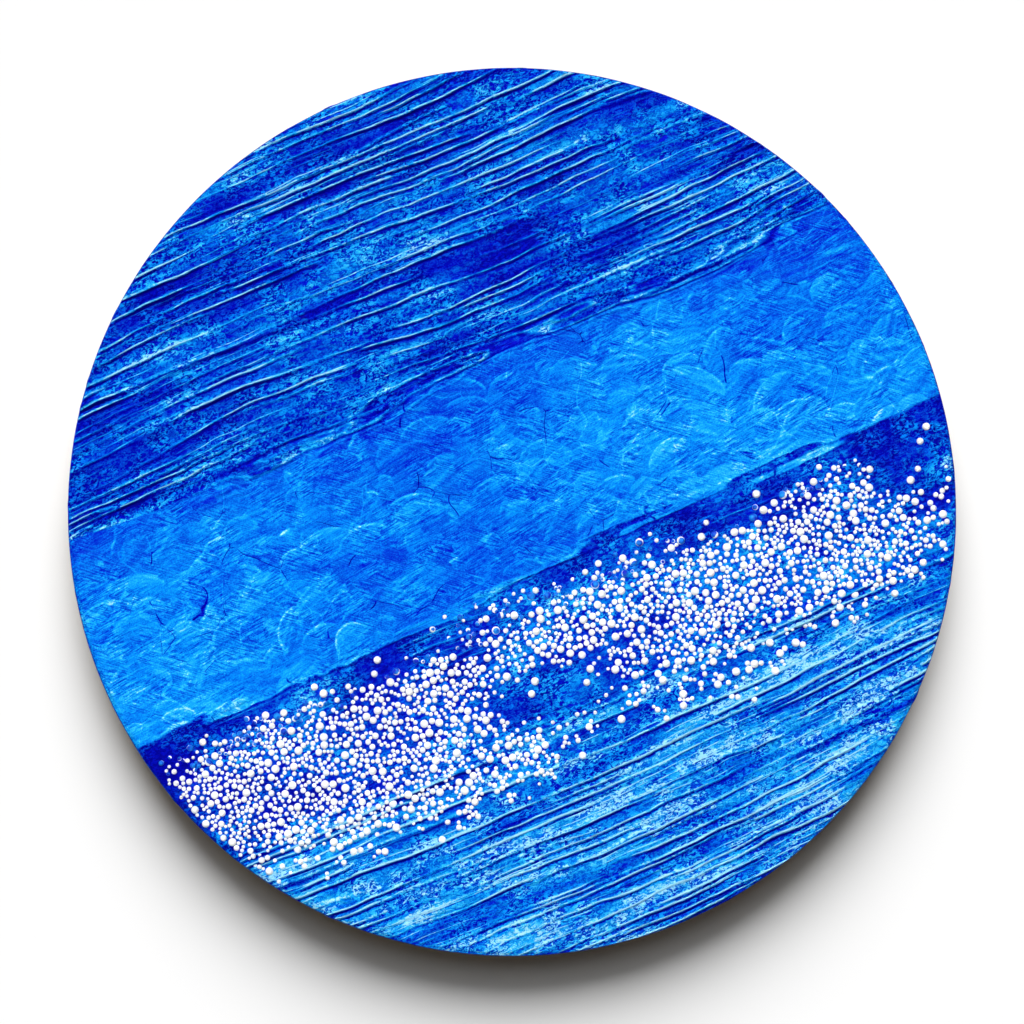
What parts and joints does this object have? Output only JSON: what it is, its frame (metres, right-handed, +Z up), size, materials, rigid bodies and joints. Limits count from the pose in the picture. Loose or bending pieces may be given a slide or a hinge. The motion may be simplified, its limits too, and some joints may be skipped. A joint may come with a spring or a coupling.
{
  "type": "round relief painting",
  "caption": "Round relief painting on a cradled wood panel, with combed and smooth blue paint paste, a band of beads and hinged D-ring hangers behind.",
  "frame": {"origin": "centre of the disc on the wall plane that the bumpers' backs touch", "axes": "+Z up, +Y into the wall, the painted face looks along -Y"},
  "size_m": [0.5996, 0.0454, 0.5996],
  "materials": {
    "plywood": "sanded birch plywood",
    "pine": "planed pine",
    "beech": "fluted beech dowel",
    "steel": "zinc plated",
    "rubber": "moulded",
    "cobalt_paint": "combed acrylic paste, varnished",
    "azure_paint": "trowelled acrylic paste, varnished",
    "beads": "white and clear beads in gel over blue paint"
  },
  "bodies": {
    "panel": {"face_panel": "plywood", "rim_segment_1": "pine", "rim_segment_2": "pine", "rim_segment_3": "pine", "rim_segment_4": "pine", "rim_segment_5": "pine", "rim_segment_6": "pine", "rim_dowel_1": "beech", "rim_dowel_2": "beech", "rim_dowel_3": "beech", "rim_dowel_4": "beech", "rim_dowel_5": "beech", "rim_dowel_6": "beech", "rim_dowel_7": "beech", "rim_dowel_8": "beech", "rim_dowel_9": "beech", "rim_dowel_10": "beech", "rim_dowel_11": "beech", "rim_dowel_12": "beech", "brace_left": "pine", "brace_right": "pine", "brace_cross": "pine", "hanger_strap_left": "steel", "hanger_strap_right": "steel", "hanger_screw_left_upper": "steel", "hanger_screw_left_lower": "steel", "hanger_screw_right_upper": "steel", "hanger_screw_right_lower": "steel", "wall_bumper_1": "rubber", "wall_bumper_2": "rubber", "wall_bumper_3": "rubber", "wall_bumper_4": "rubber", "combed_paste_upper": "cobalt_paint", "smooth_paste": "azure_paint", "bead_bed": "beads", "combed_paste_lower": "cobalt_paint"},
    "ring_left": {"hanger_ring_left": "steel"},
    "ring_right": {"hanger_ring_right": "steel"}
  },
  "joints": [
    {"name": "ring_left_swing", "type": "hinge", "parent": "panel", "child": "ring_left", "pos_m": [-0.142, -0.0122, 0.118], "axis": [-1, 0, 0], "range_deg": [0, 172]},
    {"name": "ring_right_swing", "type": "hinge", "parent": "panel", "child": "ring_right", "pos_m": [0.142, -0.0122, 0.118], "axis": [-1, 0, 0], "range_deg": [0, 172]}
  ]
}
